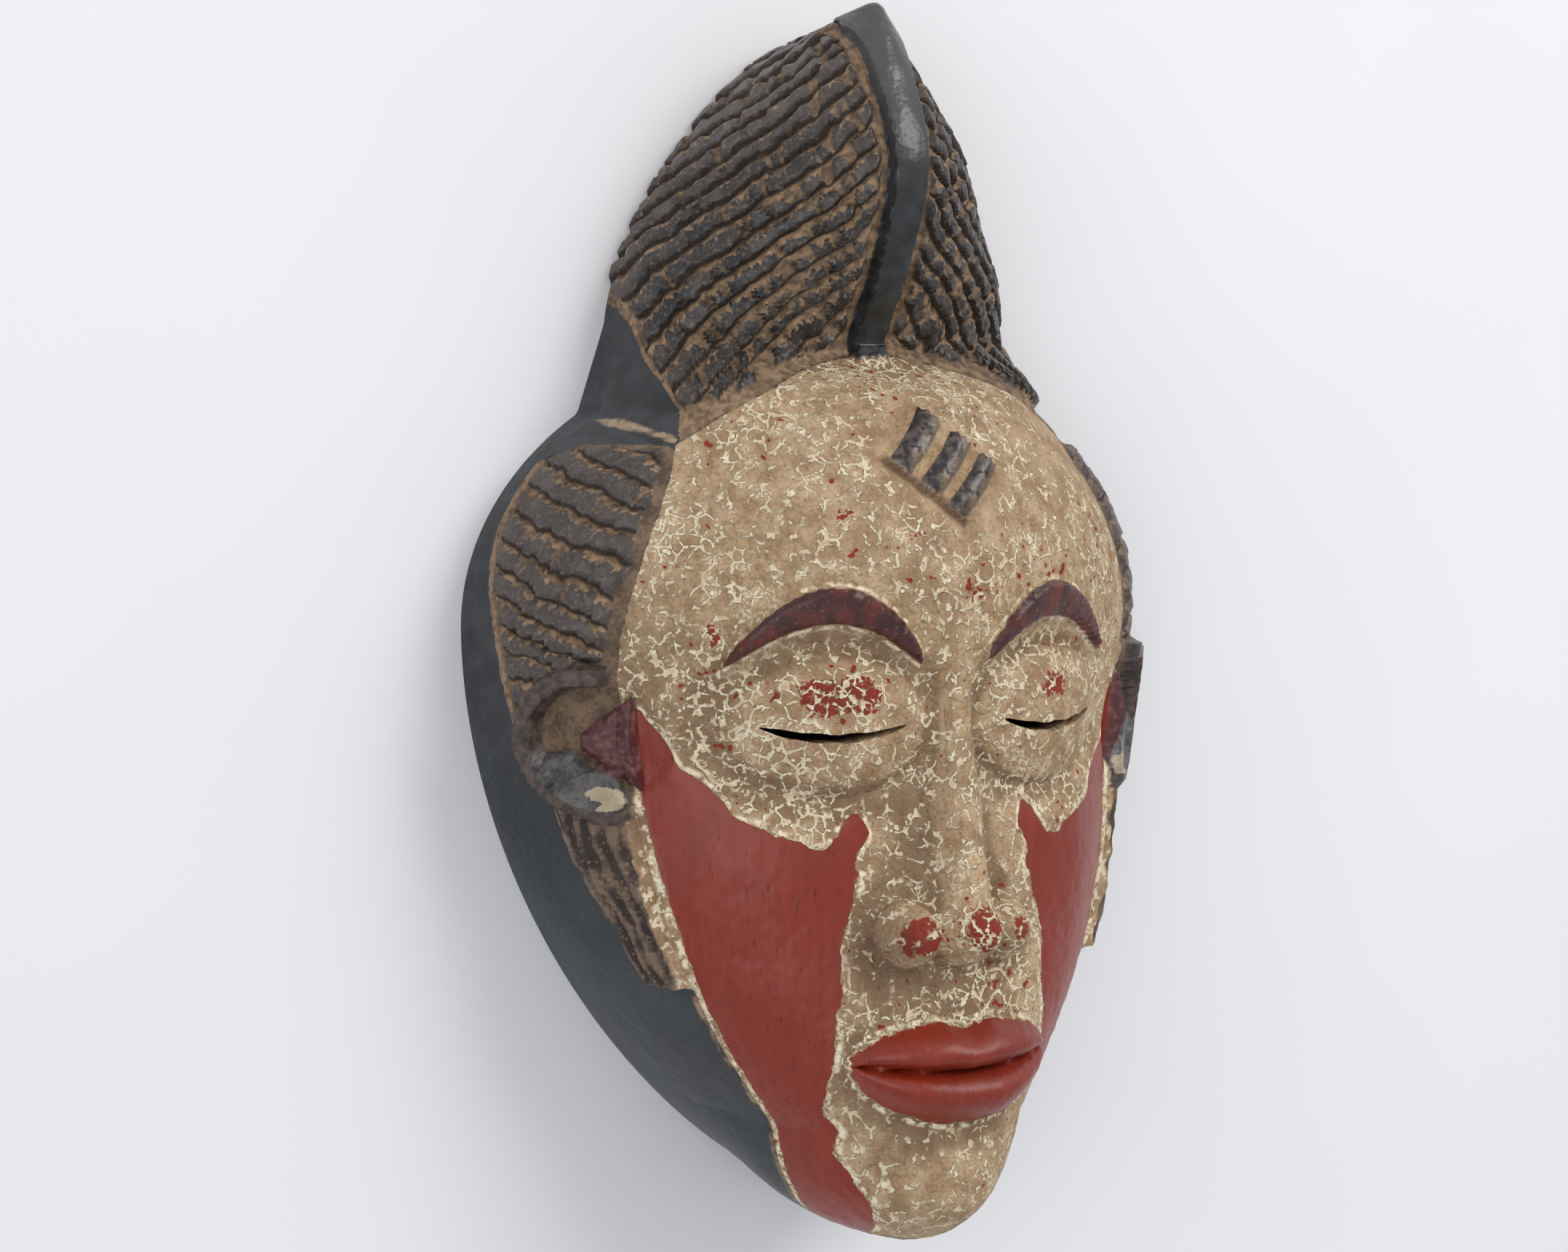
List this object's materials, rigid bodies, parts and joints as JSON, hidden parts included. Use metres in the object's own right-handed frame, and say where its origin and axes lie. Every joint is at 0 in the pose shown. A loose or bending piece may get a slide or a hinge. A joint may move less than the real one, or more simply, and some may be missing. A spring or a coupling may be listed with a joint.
{
  "type": "punu mask",
  "caption": "Hollow carved wooden face mask with a tall braided crest, braided side hair, ears, closed eyes with through slits and a painted face.",
  "frame": {"origin": "centre of the bounding box at the plane of the back rim, on which the mask lies", "axes": "+Y up the face to the crown, +Z out of the face, +X across the face to the mask's proper left"},
  "size_m": [0.202, 0.3282, 0.102],
  "materials": {
    "painted_wood": "carved wood under worn paint: crackled tan and cream kaolin, oxide red cheeks and lips, charcoal braids, slate sides"
  },
  "bodies": {
    "root": {"carved_mask": "painted_wood"}
  },
  "joints": []
}
